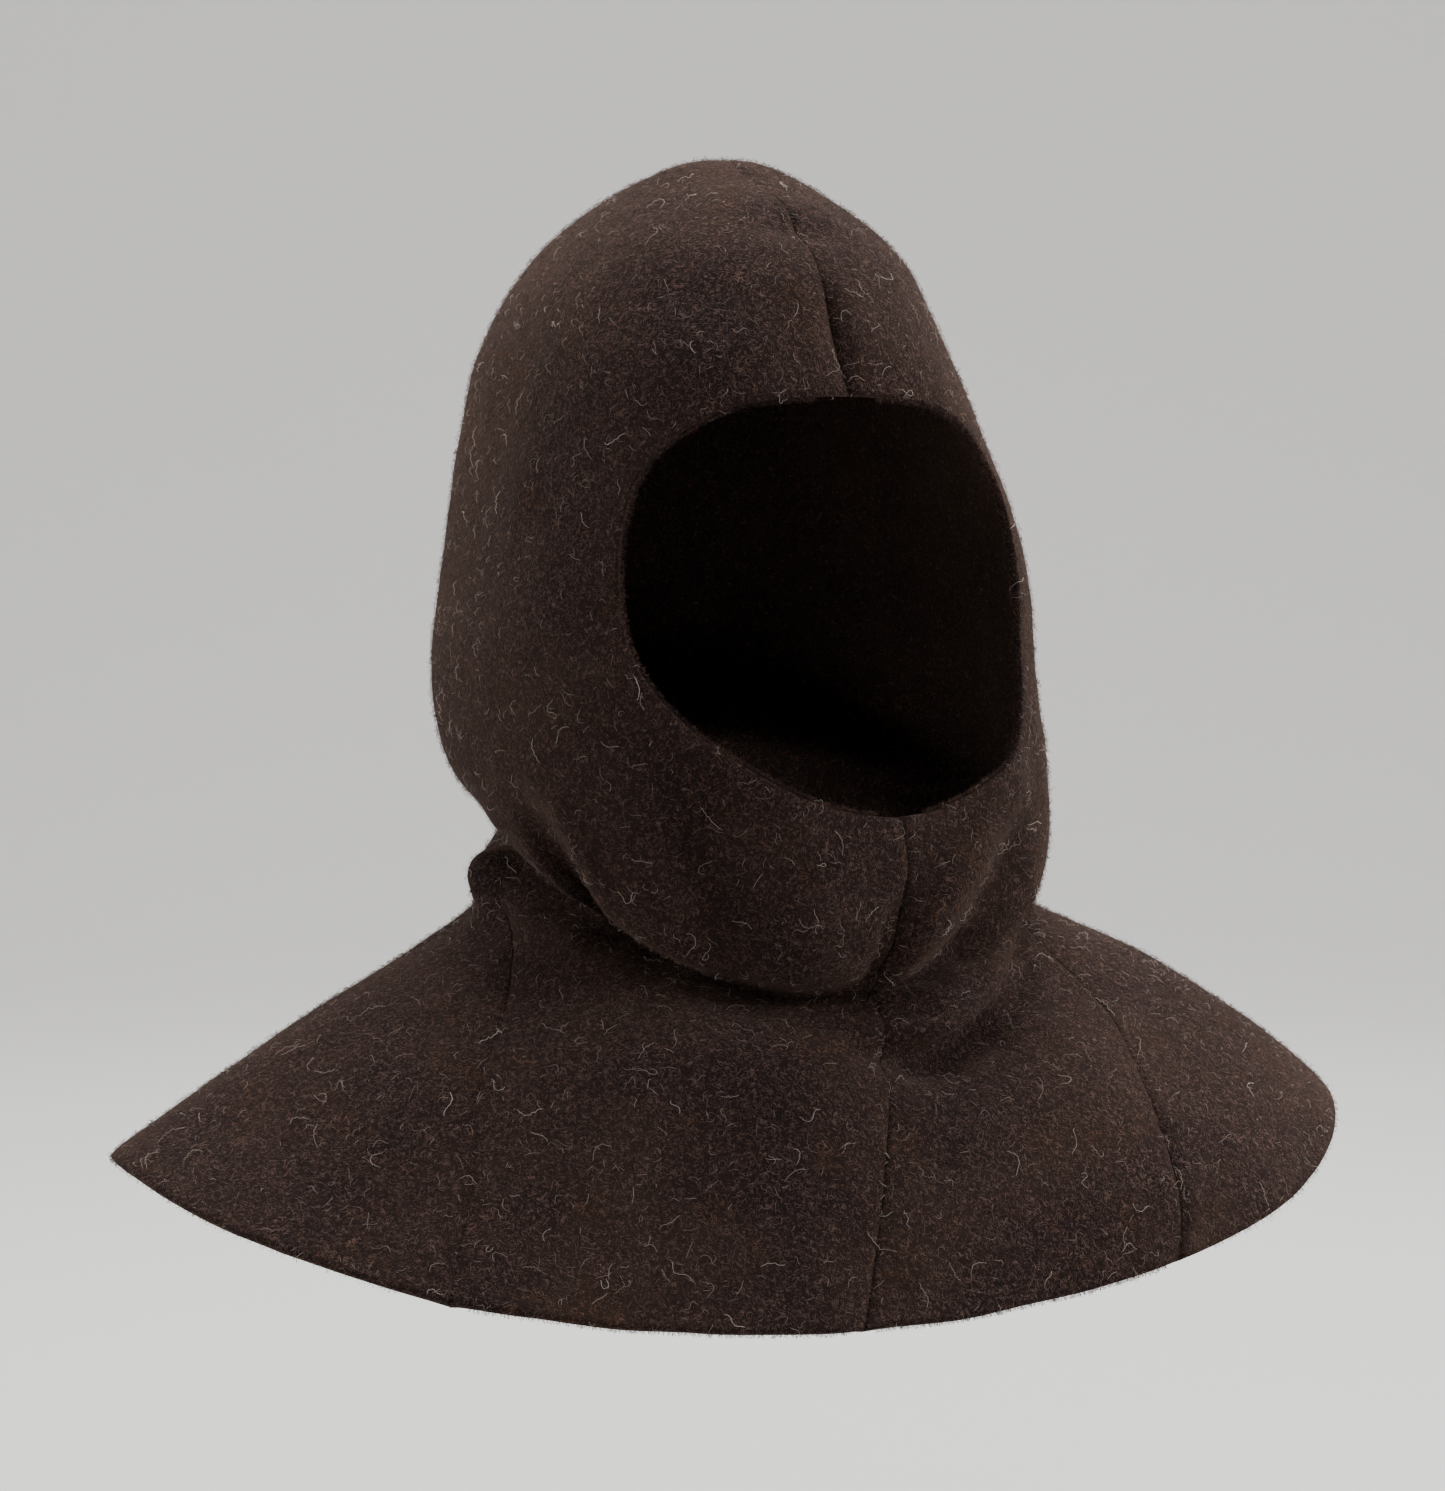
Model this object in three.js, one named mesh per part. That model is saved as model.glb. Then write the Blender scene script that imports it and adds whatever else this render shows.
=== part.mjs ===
// A medieval hood with a shoulder cape, sewn from thick brown fulled wool, in the form it has when worn with the
// head turned a little to the wearer's left.
// Two halves meet in a seam over the crown and down the back, and in another from the chin to the hem. A long gore
// is let into the cape over each shoulder. The cloth is one even layer, open at the face and at the bottom.
// Millimetres, +Z up, the face looks along -Y and the wearer's left is +X. The origin is the inside of the crown,
// where the hood sits on the head.

import * as THREE from "three";

// The cloth and its seams.
const cloth = 3; // thickness of the fulled wool
const seamClearance = 0.3; // between two sewn edges
const seamDip = 0.9; // how far a seam pulls the surface in

// The hood, outside.
const height = 425; // from the crown down to the hem at the middle of the chest
const headHalfBreadth = 110;
const headFront = 106; // from the axis to the brow
const headBack = 130;
const capeHalfBreadth = 248;
const capeFront = 145;
const capeBack = 130;
const shoulderLift = 59; // how much higher the hem lies on the shoulders than on the chest
const neckTilt = 86; // how much higher the neck line lies at the nape than at the throat
const leftShoulderRaise = 5; // the left shoulder is held this much higher, the right one lower

// The face opening: the middle of its upper and lower edges, its widest level, and half the angle it takes there.
const openingTop = 92;
const openingWidest = 160;
const openingBottom = 247;
const openingHalfAngle = 46;
const upperCorner = 2.7; // the power of its upper outline's curve
const lowerCorner = { left: 2.9, right: 2 }; // and of its lower, on the wearer's left and right

// The neck crease, where the head part overhangs the cape.
const creaseDepth = 26;
const creaseWidth = 13;
const creaseDroop = 7;


const degree = Math.PI / 180;
const mix = THREE.MathUtils.lerp;

// Sections from the crown to the hem. down is the share of the height. side, front and back are shares of the head's
// reaches, and spread is how far the section has changed from those (0) to the cape's (1). aside is how far its middle
// lies to the wearer's left, as a share of headHalfBreadth. lift, tilt and raise are shares of shoulderLift, neckTilt
// and leftShoulderRaise. turn is the section's own and slide that of the front seam alone, in degrees to the wearer's
// left. square is the power of the outline's curve.
const sections = [
  { name: "crown", down: 0, side: 0, front: 0, back: 0, spread: 0, aside: -0.08, lift: 0, tilt: 0, raise: 0, turn: 4, slide: 0, square: 2 },
  { name: "top", down: 0.022, side: 0.265, front: 0.31, back: 0.325, spread: 0, aside: -0.075, lift: 0, tilt: 0, raise: 0, turn: 4, slide: 0, square: 2.05 },
  { name: "dome", down: 0.08, side: 0.557, front: 0.72, back: 0.68, spread: 0, aside: -0.083, lift: 0, tilt: 0, raise: 0, turn: 4, slide: 1, square: 2.3 },
  { name: "temple", down: 0.16, side: 0.718, front: 0.93, back: 0.89, spread: 0, aside: -0.1, lift: 0, tilt: 0, raise: 0, turn: 4, slide: 3, square: 2.45 },
  { name: "brow", down: 0.25, side: 0.822, front: 1.0, back: 0.96, spread: 0, aside: -0.068, lift: 0, tilt: 0, raise: 0, turn: 4, slide: 4.5, square: 2.6 },
  { name: "cheekbone", down: 0.35, side: 0.925, front: 1.0, back: 0.985, spread: 0, aside: -0.03, lift: 0, tilt: 0, raise: 0, turn: 4, slide: 3, square: 2.6 },
  { name: "cheek", down: 0.45, side: 0.995, front: 0.98, back: 1.0, spread: 0, aside: -0.02, lift: 0, tilt: 0.05, raise: 0, turn: 4, slide: 3, square: 2.5 },
  { name: "jaw", down: 0.54, side: 1.04, front: 0.945, back: 0.98, spread: 0, aside: 0.02, lift: 0, tilt: 0.2, raise: 0, turn: 5, slide: 6, square: 2.35 },
  { name: "chin", down: 0.61, side: 1.05, front: 0.93, back: 0.93, spread: 0, aside: 0.05, lift: 0, tilt: 0.45, raise: 0, turn: 5, slide: 12, square: 2.2 },
  { name: "throat", down: 0.68, side: 1.04, front: 0.93, back: 0.84, spread: 0, aside: 0.06, lift: 0, tilt: 0.8, raise: 0, turn: 4, slide: 10, square: 2.1 },
  { name: "crease", down: 0.738, side: 1.0, front: 0.93, back: 0.78, spread: 0.02, aside: 0.05, lift: 0, tilt: 1, raise: 0, turn: 3, slide: 10.5, square: 2 },
  { name: "roll", down: 0.785, side: 0.81, front: 0.94, back: 0.8, spread: 0.17, aside: 0.03, lift: 0.18, tilt: 0.84, raise: 0.5, turn: 1, slide: 11.5, square: 2 },
  { name: "shoulder", down: 0.86, side: 1.0, front: 0.95, back: 0.9, spread: 0.46, aside: 0, lift: 0.55, tilt: 0.34, raise: 1.5, turn: 0, slide: 9, square: 2 },
  { name: "arm", down: 0.935, side: 1.0, front: 0.98, back: 0.96, spread: 0.75, aside: 0, lift: 0.83, tilt: 0.14, raise: 1.5, turn: 0, slide: 4, square: 2 },
  { name: "hem", down: 1, side: 1, front: 1, back: 1, spread: 1, aside: 0, lift: 1.05, tilt: 0, raise: 1, turn: 2, slide: -2, square: 2 },
];

// The neck crease by its angle round the neck, negative to the wearer's right. down is the share of the height, and
// depth, droop and width are shares of creaseDepth, creaseDroop and creaseWidth.
const neckCrease = [
  { angle: -180, down: 0.52, depth: 0.35, droop: 0.2, width: 1 },
  { angle: -140, down: 0.54, depth: 0.6, droop: 0.5, width: 0.9 },
  { angle: -115, down: 0.584, depth: 1.0, droop: 0.9, width: 0.9 },
  { angle: -93, down: 0.595, depth: 1.2, droop: 1.0, width: 1 },
  { angle: -73, down: 0.638, depth: 1.25, droop: 1.1, width: 1 },
  { angle: -50, down: 0.688, depth: 1.0, droop: 1.0, width: 1 },
  { angle: -10, down: 0.738, depth: 0.9, droop: 0.85, width: 1 },
  { angle: 20, down: 0.73, depth: 0.75, droop: 0.6, width: 1 },
  { angle: 45, down: 0.7, depth: 0.5, droop: 0.4, width: 0.9 },
  { angle: 75, down: 0.67, depth: 0.06, droop: 0, width: 1 },
  { angle: 130, down: 0.57, depth: 0.15, droop: 0.1, width: 1 },
];

// Other folds. Each runs through its rows: angle round the neck, share of the height down, how far it stands out, and
// half its width, as shares of creaseDepth and creaseWidth.
const folds = [
  { name: "right overhang", angle: -108, down: 0.56, out: 0.1, width: 0.8 },
  { name: "right overhang", angle: -80, down: 0.6, out: 0.25, width: 0.8 },
  { name: "right overhang", angle: -58, down: 0.66, out: 0.2, width: 0.8 },
  { name: "chin ridge", angle: 46, down: 0.56, out: 0.2, width: 0.7 },
  { name: "chin ridge", angle: 34, down: 0.62, out: 0.28, width: 0.8 },
  { name: "chin ridge", angle: 21, down: 0.69, out: 0.22, width: 0.8 },
  { name: "neck hollow", angle: 62, down: 0.575, out: -0.1, width: 1 },
  { name: "neck hollow", angle: 50, down: 0.63, out: -0.42, width: 1.1 },
  { name: "neck hollow", angle: 38, down: 0.69, out: -0.3, width: 1.1 },
  { name: "throat roll", angle: 6, down: 0.752, out: 0.1, width: 0.9 },
  { name: "throat roll", angle: 25, down: 0.758, out: 0.36, width: 0.9 },
  { name: "throat roll", angle: 42, down: 0.74, out: 0.3, width: 0.9 },
  { name: "throat roll", angle: 55, down: 0.71, out: 0.1, width: 0.9 },
  { name: "chest crease", angle: 6, down: 0.778, out: -0.1, width: 0.7 },
  { name: "chest crease", angle: 24, down: 0.796, out: -0.5, width: 0.75 },
  { name: "chest crease", angle: 39, down: 0.78, out: -0.55, width: 0.75 },
  { name: "chest crease", angle: 52, down: 0.745, out: -0.2, width: 0.75 },
  { name: "chin hollow", angle: -30, down: 0.6, out: -0.1, width: 1 },
  { name: "chin hollow", angle: -24, down: 0.66, out: -0.28, width: 1 },
  { name: "chin hollow", angle: -17, down: 0.71, out: -0.2, width: 1 },
  { name: "nape roll", angle: -150, down: 0.58, out: 0.05, width: 0.7 },
  { name: "nape roll", angle: -112, down: 0.635, out: 0.18, width: 0.7 },
  { name: "nape roll", angle: -90, down: 0.66, out: 0.1, width: 0.8 },
  { name: "nape hollow", angle: -135, down: 0.66, out: -0.2, width: 1 },
  { name: "nape hollow", angle: -105, down: 0.685, out: -0.42, width: 1 },
  { name: "nape hollow", angle: -88, down: 0.715, out: -0.2, width: 1 },
  { name: "cape flare", angle: 60, down: 0.8, out: 0.06, width: 2.5 },
  { name: "cape flare", angle: 58, down: 0.92, out: 0.34, width: 2.6 },
  { name: "cheek flare", angle: 64, down: 0.33, out: 0.1, width: 2 },
  { name: "cheek flare", angle: 64, down: 0.39, out: 0.12, width: 2 },
  { name: "gore valley", angle: 60, down: 0.75, out: -0.1, width: 0.8 },
  { name: "gore valley", angle: 58, down: 0.82, out: -0.14, width: 0.9 },
];

// The seams of the gores, as degrees from the middle of the chest. down is the share of the way from a gore's tip to
// the hem.
const goreSeams = [
  { down: 0, frontLeft: 88, backLeft: 88, frontRight: 92, backRight: 92 },
  { down: 0.1, frontLeft: 76, backLeft: 97, frontRight: 88, backRight: 99 },
  { down: 0.3, frontLeft: 58.5, backLeft: 110, frontRight: 71, backRight: 110 },
  { down: 0.6, frontLeft: 49, backLeft: 121, frontRight: 59, backRight: 119 },
  { down: 1, frontLeft: 46.5, backLeft: 130, frontRight: 51, backRight: 130 },
];

// Catmull-Rom through a, b, c and d, from b at 0 to c at 1.
function curve(a, b, c, d, t) {
  return 0.5 * (2 * b + (c - a) * t + (2 * a - 5 * b + 4 * c - d) * t * t + (3 * b - a - 3 * c + d) * t * t * t);
}

// The sizes of a section, and of any place v between them, where v counts sections from the crown.
const sizesOf = (row) => ({
  level: row.down * height,
  side: mix(headHalfBreadth * row.side, capeHalfBreadth * row.side, row.spread),
  front: mix(headFront * row.front, capeFront * row.front, row.spread),
  back: mix(headBack * row.back, capeBack * row.back, row.spread),
  aside: row.aside * headHalfBreadth,
  lift: row.lift * shoulderLift,
  tilt: row.tilt * neckTilt,
  raise: row.raise * leftShoulderRaise,
  turn: row.turn,
  slide: row.slide,
  square: row.square,
});
const sizes = sections.map(sizesOf);
const last = sections.length - 1;
function sizesAtRow(k) {
  if (k >= 0) return sizes[Math.min(k, last)];
  return { ...sizes[1], side: -sizes[1].side, front: -sizes[1].front, back: -sizes[1].back };
}
function sectionAt(v) {
  const i = Math.min(Math.floor(v), last - 1);
  const [a, b, c, d] = [i - 1, i, i + 1, i + 2].map(sizesAtRow);
  const made = {};
  for (const key of Object.keys(b)) {
    const beyond = i + 2 > last ? 2 * c[key] - b[key] : d[key];
    made[key] = curve(a[key], b[key], c[key], beyond, v - i);
  }
  return made;
}

// A column of the crease's table at any angle.
function roundNeck(column, angle) {
  const n = neckCrease.length;
  const start = neckCrease[0].angle;
  const a = ((((angle - start) % 360) + 360) % 360) + start;
  let i = n - 1;
  while (neckCrease[i].angle > a) i--;
  const at = (k) => neckCrease[((k % n) + n) % n][column];
  const from = neckCrease[i].angle;
  const to = i + 1 < n ? neckCrease[i + 1].angle : start + 360;
  return curve(at(i - 1), at(i), at(i + 1), at(i + 2), (a - from) / (to - from));
}

// How far the folds carry the surface out at an angle and a level.
const perDegree = headHalfBreadth * degree;
function foldsOut(angle, level) {
  const nearest = new Map();
  for (let i = 0; i + 1 < folds.length; i++) {
    const [a, b] = [folds[i], folds[i + 1]];
    if (a.name !== b.name) continue;
    const [ax, ay] = [a.angle * perDegree, a.down * height];
    const [bx, by] = [(b.angle - a.angle) * perDegree, (b.down - a.down) * height];
    const [px, py] = [angle * perDegree - ax, level - ay];
    const t = THREE.MathUtils.clamp((px * bx + py * by) / (bx * bx + by * by), 0, 1);
    const away = Math.hypot(px - t * bx, py - t * by) / (creaseWidth * mix(a.width, b.width, t));
    const out = creaseDepth * mix(a.out, b.out, t) * Math.exp(-away * away);
    if (Math.abs(out) > Math.abs(nearest.get(a.name) ?? 0)) nearest.set(a.name, out);
  }
  let total = 0;
  for (const out of nearest.values()) total += out;
  return total;
}

// The outer surface at v and an angle in degrees, 0 at the front seam and 180 at the back seam.
const shoulderPower = 1.4;
const lipAbove = 0.8; // the lip that hangs over the crease, above it by this share of the crease's width
function surface(v, angle) {
  const s = sectionAt(v);
  const round = (1 + Math.cos(angle * degree)) / 2;
  const a = (angle + s.slide * round) * degree;
  const [sin, cos] = [Math.sin(a), Math.cos(a)];
  const reach = cos > 0 ? s.front : s.back;
  let radius = 0;
  if (s.side > 0)
    radius = ((Math.abs(sin) / s.side) ** s.square + (Math.abs(cos) / reach) ** s.square) ** (-1 / s.square);
  const forward = radius > 0 ? Math.min(1, Math.abs(radius * cos) / reach) : 1;
  const sideways = radius > 0 ? (radius * sin) / s.side : 0;
  let z = -s.level + s.lift * (1 - forward ** shoulderPower) + (s.tilt * (1 - cos)) / 2 + s.raise * sideways;

  const world = angle + s.slide * round + s.turn;
  const across = (roundNeck("down", world) * height + z) / (creaseWidth * roundNeck("width", world));
  const near = Math.exp(-across * across);
  radius += foldsOut(world > 180 ? world - 360 : world, -z) - creaseDepth * roundNeck("depth", world) * near;
  z -= creaseDroop * roundNeck("droop", world) * Math.exp(-(((across - lipAbove) / lipAbove) ** 2));

  const t = s.turn * degree;
  const [x, y] = [radius * sin, -radius * cos];
  return new THREE.Vector3(
    x * Math.cos(t) - y * Math.sin(t) + s.aside,
    x * Math.sin(t) + y * Math.cos(t),
    z + cloth,
  );
}

// The way round the hood to the wearer's left, and the outward normal.
const small = 1e-3;
function wayRound(v, angle) {
  const w = Math.max(v, 0.05);
  return surface(w, angle + small).sub(surface(w, angle - small)).normalize();
}
function normal(v, angle) {
  const w = THREE.MathUtils.clamp(v, 0.05, last - small);
  const down = surface(w + small, angle).sub(surface(w - small, angle));
  return wayRound(w, angle).cross(down).negate().normalize();
}

// The rows of faces. front is where a row meets the face opening or the front seam, and side where it crosses the
// shoulder line. The rows fan out round the opening and lie level from the neck crease down.
function vAtLevel(level) {
  let [low, high] = [0, last];
  for (let i = 0; i < 40; i++) {
    const middle = (low + high) / 2;
    if (sectionAt(middle).level < level) low = middle;
    else high = middle;
  }
  return (low + high) / 2;
}
const sideTop = 66; // the row that starts at the middle of the brow edge crosses the side here
const sideBottom = 256; // and the one that starts at the chin here
const crownRows = 7;
const openingRows = 16;
const neckRows = 8;
const creaseV = sections.findIndex((s) => s.name === "crease");
const lowerSteps = [7, 6, 3, 3];
function rowsOf(lowerPower) {
  const made = [];
  for (let i = 0; i < crownRows; i++) {
    const share = (i / crownRows) ** 0.9;
    made.push({ front: vAtLevel(openingTop) * share, side: vAtLevel(sideTop) * share, open: 0 });
  }
  for (let i = 0; i <= openingRows; i++) {
    const t = (i / openingRows) * 180 * degree;
    const upper = Math.cos(t) > 0;
    const power = 2 / (upper ? upperCorner : lowerPower);
    const reach = upper ? openingTop - openingWidest : openingBottom - openingWidest;
    const level = openingWidest + reach * Math.abs(Math.cos(t)) ** power;
    const open = i > 0 && i < openingRows ? openingHalfAngle * Math.sin(t) ** power : 0;
    made.push({ front: vAtLevel(level), side: vAtLevel(mix(sideTop, sideBottom, i / openingRows)), open });
  }
  const chin = made[made.length - 1];
  for (let i = 1; i < neckRows; i++) {
    const share = 1 - (1 - i / neckRows) ** 1.5;
    made.push({ front: mix(chin.front, creaseV, share), side: mix(chin.side, creaseV, share), open: 0 });
  }
  lowerSteps.forEach((steps, i) => {
    for (let k = 0; k < steps; k++) {
      const v = creaseV + i + k / steps;
      made.push({ front: v, side: v, open: 0 });
    }
  });
  made.push({ front: last, side: last, open: 0 });
  return made;
}
const leftRows = rowsOf(lowerCorner.left);
const rightRows = rowsOf(lowerCorner.right);
const tipRow = leftRows.findIndex((row) => row.side > creaseV + 0.25);

// Where a gore's front or back seam runs at a row.
function goreAngle(rows, row, column) {
  const share = Math.max(0, (rows[row].side - rows[tipRow].side) / (last - rows[tipRow].side));
  let i = 0;
  while (goreSeams[i + 1].down < share) i++;
  const [a, b] = [goreSeams[i], goreSeams[i + 1]];
  const before = goreSeams[i - 1] ?? { [column]: 2 * a[column] - b[column] };
  const beyond = goreSeams[i + 2] ?? { [column]: 2 * b[column] - a[column] };
  const t = (share - a.down) / (b.down - a.down);
  return curve(before[column], a[column], b[column], beyond[column], t);
}

// Columns of faces between two seams.
const frontColumns = 13;
const backColumns = 11;
const goreColumns = 9;
const halfColumns = frontColumns + backColumns + 1; // with the slot that the gore fills below its tip

// The corners of a half and of a gore. inset is 1 where the piece lies to the wearer's left of a seam and -1 where it
// lies to the right, and way is the seam's own direction there.
function seamWay(row, side, at) {
  const [from, to] = [at(row - 1) ?? at(row), at(row + 1) ?? at(row)];
  return surface(to.v, side * to.angle).sub(surface(from.v, side * from.angle)).normalize();
}
function goreSeam(rows, name) {
  return (r) => (r < tipRow || r >= rows.length ? null : { v: rows[r].side, angle: goreAngle(rows, r, name) });
}
function halfCorner({ rows, word, side }, row, column) {
  const frontSeam = (r) => (r < 0 || r >= rows.length || rows[r].open > 0 ? null : { v: rows[r].front, angle: 0 });
  const backSeam = (r) => (r < 0 || r >= rows.length ? null : { v: rows[r].side, angle: 180 });
  if (row === 0) return { key: "crown", v: 0, angle: 0, inset: 1, way: seamWay(0, side, frontSeam) };
  const goreFront = goreAngle(rows, row, `front${word}`);
  const goreBack = goreAngle(rows, row, `back${word}`);
  const { front, side: middle, open } = rows[row];
  const below = row > tipRow;
  const atGore = column === frontColumns || column === frontColumns + 1;
  const share = column / frontColumns;
  const before = column <= frontColumns;
  const v = before ? mix(front, middle, Math.sin(share * 90 * degree)) : middle;
  const angle = before
    ? mix(open, goreFront, share)
    : mix(goreBack, 180, (column - frontColumns - 1) / backColumns);
  let inset = 0;
  let seam = null;
  if (column === 0 && open === 0) [inset, seam] = [1, frontSeam];
  if (column === halfColumns) [inset, seam] = [-1, backSeam];
  if (below && atGore && before) [inset, seam] = [-1, goreSeam(rows, `front${word}`)];
  if (below && atGore && !before) [inset, seam] = [1, goreSeam(rows, `back${word}`)];
  const shared = !below && column === frontColumns + 1 ? frontColumns : column;
  return { key: `${row}:${shared}`, v, angle, inset, way: seam && seamWay(row, side, seam) };
}
function goreCorner({ rows, word, side }, row, column) {
  const v = rows[row].side;
  const front = goreAngle(rows, row, `front${word}`);
  const back = goreAngle(rows, row, `back${word}`);
  if (row === tipRow) return { key: "tip", v: v + 0.03, angle: front, inset: 0, way: null };
  let inset = 0;
  let seam = null;
  if (column === 0) [inset, seam] = [1, goreSeam(rows, `front${word}`)];
  if (column === goreColumns) [inset, seam] = [-1, goreSeam(rows, `back${word}`)];
  const angle = mix(front, back, column / goreColumns);
  return { key: `${row}:${column}`, v, angle, inset, way: seam && seamWay(row, side, seam) };
}
function cellsOf(half, corner, firstRow, columns, skipped) {
  const cells = [];
  for (let row = firstRow; row + 1 < half.rows.length; row++)
    for (let column = 0; column < columns; column++) {
      if (column === skipped) continue;
      const [upper, lower] = [row, row + 1].map((r) => [column, column + 1].map((c) => corner(half, r, c)));
      cells.push([upper[0], lower[0], lower[1], upper[1]]);
    }
  return cells;
}

// A closed shell of cloth over a grid of cells, on the wearer's left (1) or right (-1).
function shell(cells, side) {
  const corners = new Map();
  const points = [];
  const vertex = (c) => {
    if (corners.has(c.key)) return corners.get(c.key);
    const angle = side * c.angle;
    const n = normal(c.v, angle);
    const outer = surface(c.v, angle).addScaledVector(n, -seamDip * Math.abs(c.inset));
    if (c.way) {
      const step = n.clone().cross(c.way).normalize();
      const toPiece = Math.sign(step.dot(wayRound(c.v, angle))) * side * c.inset;
      outer.addScaledVector(step, (toPiece * seamClearance) / 2);
    }
    corners.set(c.key, points.length);
    points.push(outer, outer.clone().addScaledVector(n, -cloth));
    return points.length - 2;
  };
  const index = [];
  const edges = new Map();
  const face = (a, b, c) => {
    if (a === b || b === c || c === a) return;
    const [p, q, r] = side > 0 ? [a, b, c] : [a, c, b];
    index.push(p, q, r, p + 1, r + 1, q + 1);
    for (const [from, to] of [[p, q], [q, r], [r, p]]) edges.set(`${from}:${to}`, [from, to]);
  };
  for (const cell of cells) {
    const [a, b, c, d] = cell.map(vertex);
    const mean = (key) => (cell[0][key] + cell[1][key] + cell[2][key] + cell[3][key]) / 4;
    const middle = surface(mean("v"), side * mean("angle"));
    const off = (p, q) => points[p].clone().add(points[q]).multiplyScalar(0.5).distanceTo(middle);
    if (off(a, c) < off(b, d)) {
      face(a, b, c);
      face(a, c, d);
    } else {
      face(a, b, d);
      face(b, c, d);
    }
  }
  for (const [p, q] of edges.values()) {
    if (edges.has(`${q}:${p}`)) continue;
    if (p < q) index.push(p, p + 1, q + 1, p, q + 1, q);
    else index.push(p, p + 1, q, q, p + 1, q + 1);
  }
  const geometry = new THREE.BufferGeometry();
  geometry.setAttribute("position", new THREE.Float32BufferAttribute(points.flatMap((p) => p.toArray()), 3));
  geometry.setIndex(index);
  geometry.computeVertexNormals();
  return geometry;
}

const hood = new THREE.Group();
function addPiece(name, geometry) {
  const wool = new THREE.MeshStandardMaterial({ color: 0x33261f, roughness: 1, metalness: 0 });
  const piece = new THREE.Mesh(geometry, wool);
  piece.name = name;
  hood.add(piece);
}
const sides = [
  { word: "Left", side: 1, rows: leftRows },
  { word: "Right", side: -1, rows: rightRows },
];
for (const half of sides) {
  const name = half.word.toLowerCase();
  addPiece(`hood_${name}`, shell(cellsOf(half, halfCorner, 0, halfColumns, frontColumns), half.side));
  addPiece(`shoulder_gore_${name}`, shell(cellsOf(half, goreCorner, tipRow, goreColumns, -1), half.side));
}

export default hood;
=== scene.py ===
import math

import bmesh
import bpy
import numpy as np
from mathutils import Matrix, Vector, noise
from mathutils.bvhtree import BVHTree
from mathutils.kdtree import KDTree


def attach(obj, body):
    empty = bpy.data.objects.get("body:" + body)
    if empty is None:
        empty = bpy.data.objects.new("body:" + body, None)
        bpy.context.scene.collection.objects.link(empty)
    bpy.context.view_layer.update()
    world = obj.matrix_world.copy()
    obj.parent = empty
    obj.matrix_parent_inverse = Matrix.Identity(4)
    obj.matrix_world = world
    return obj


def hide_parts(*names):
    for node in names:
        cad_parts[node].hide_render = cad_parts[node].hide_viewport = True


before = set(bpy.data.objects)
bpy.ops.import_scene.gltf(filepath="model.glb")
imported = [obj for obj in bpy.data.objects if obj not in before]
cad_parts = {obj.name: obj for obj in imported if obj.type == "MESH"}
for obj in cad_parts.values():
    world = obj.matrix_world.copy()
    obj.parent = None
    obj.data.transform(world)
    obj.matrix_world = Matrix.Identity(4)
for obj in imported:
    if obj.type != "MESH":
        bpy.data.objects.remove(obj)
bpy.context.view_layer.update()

# ---------------------------------------------------------------------------------------------
# The studio: a seamless pale grey sweep, a large softbox overhead, a smaller one on each side and
# a light for the sweep itself. The camera stands to the wearer's right of the chest, level with
# the top of the face opening, as in the photograph.

lens_mm, sensor_mm = 106.8, 36
sideways_shift = -0.01174  # of the frame, as the photograph is cropped
stands_at, looks_at = (-0.52533, -1.61680, -0.117), (0, 0, -0.222)

camera_data = bpy.data.cameras.new("camera")
camera_data.lens = lens_mm
camera_data.sensor_width = sensor_mm
camera_data.shift_x = sideways_shift
camera = bpy.data.objects.new("camera", camera_data)
bpy.context.scene.collection.objects.link(camera)
camera.location = stands_at
aim = Vector(looks_at) - camera.location
camera.rotation_euler = aim.to_track_quat("-Z", "Y").to_euler()
bpy.context.scene.camera = camera


def linear(code):
    """An sRGB hex value as the linear colour that a shader takes."""
    shares = [int(code[i : i + 2], 16) / 255 for i in (1, 3, 5)]
    return [s / 12.92 if s <= 0.04045 else ((s + 0.055) / 1.055) ** 2.4 for s in shares] + [1]


def new_material(name, **settings):
    """A material and its shader, with the shader's own sockets set."""
    material = bpy.data.materials.new(name)
    material.use_nodes = True
    shader = material.node_tree.nodes["Principled BSDF"]
    for key, value in settings.items():
        shader.inputs[key.replace("_", " ")].default_value = value
    return material, shader


# Painted plaster, rolled matt: no gloss and no pattern.
plaster, shader = new_material("matt painted plaster", Roughness=0.95, Specular_IOR_Level=0.1)
shader.inputs["Base Color"].default_value = linear("#cfcecc")

floor_radius, floor_level = 2.6, -0.62
cove_steps, step, spread = 10, 0.28, 0.22  # the cove's steps, their length and their mean spread
wall_height = 3.2

bpy.ops.object.select_all(action="DESELECT")
bpy.ops.mesh.primitive_circle_add(
    vertices=96, radius=floor_radius, fill_type="NGON", location=(0, 0, floor_level)
)
sweep = bpy.context.object
sweep.name = "sweep"
bpy.ops.object.mode_set(mode="EDIT")
bpy.ops.mesh.select_all(action="SELECT")
for k in range(cove_steps):
    turn = (k + 0.5) * math.pi / (2 * cove_steps)
    rise = (0, 0, step * math.sin(turn))
    bpy.ops.mesh.extrude_region_move(TRANSFORM_OT_translate={"value": rise})
    wider = 1 + step * math.cos(turn) / (floor_radius + spread * k)
    bpy.ops.transform.resize(value=(wider, wider, 1), center_override=(0, 0, 0))
bpy.ops.mesh.extrude_region_move(TRANSFORM_OT_translate={"value": (0, 0, wall_height)})
bpy.ops.mesh.delete(type="ONLY_FACE")
bpy.ops.mesh.select_all(action="SELECT")
bpy.ops.mesh.normals_make_consistent(inside=True)
bpy.ops.object.mode_set(mode="OBJECT")
bpy.ops.object.transform_apply(location=True, rotation=True, scale=True)
bpy.ops.object.shade_smooth_by_angle(angle=math.radians(40))
sweep.data.materials.append(plaster)

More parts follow.
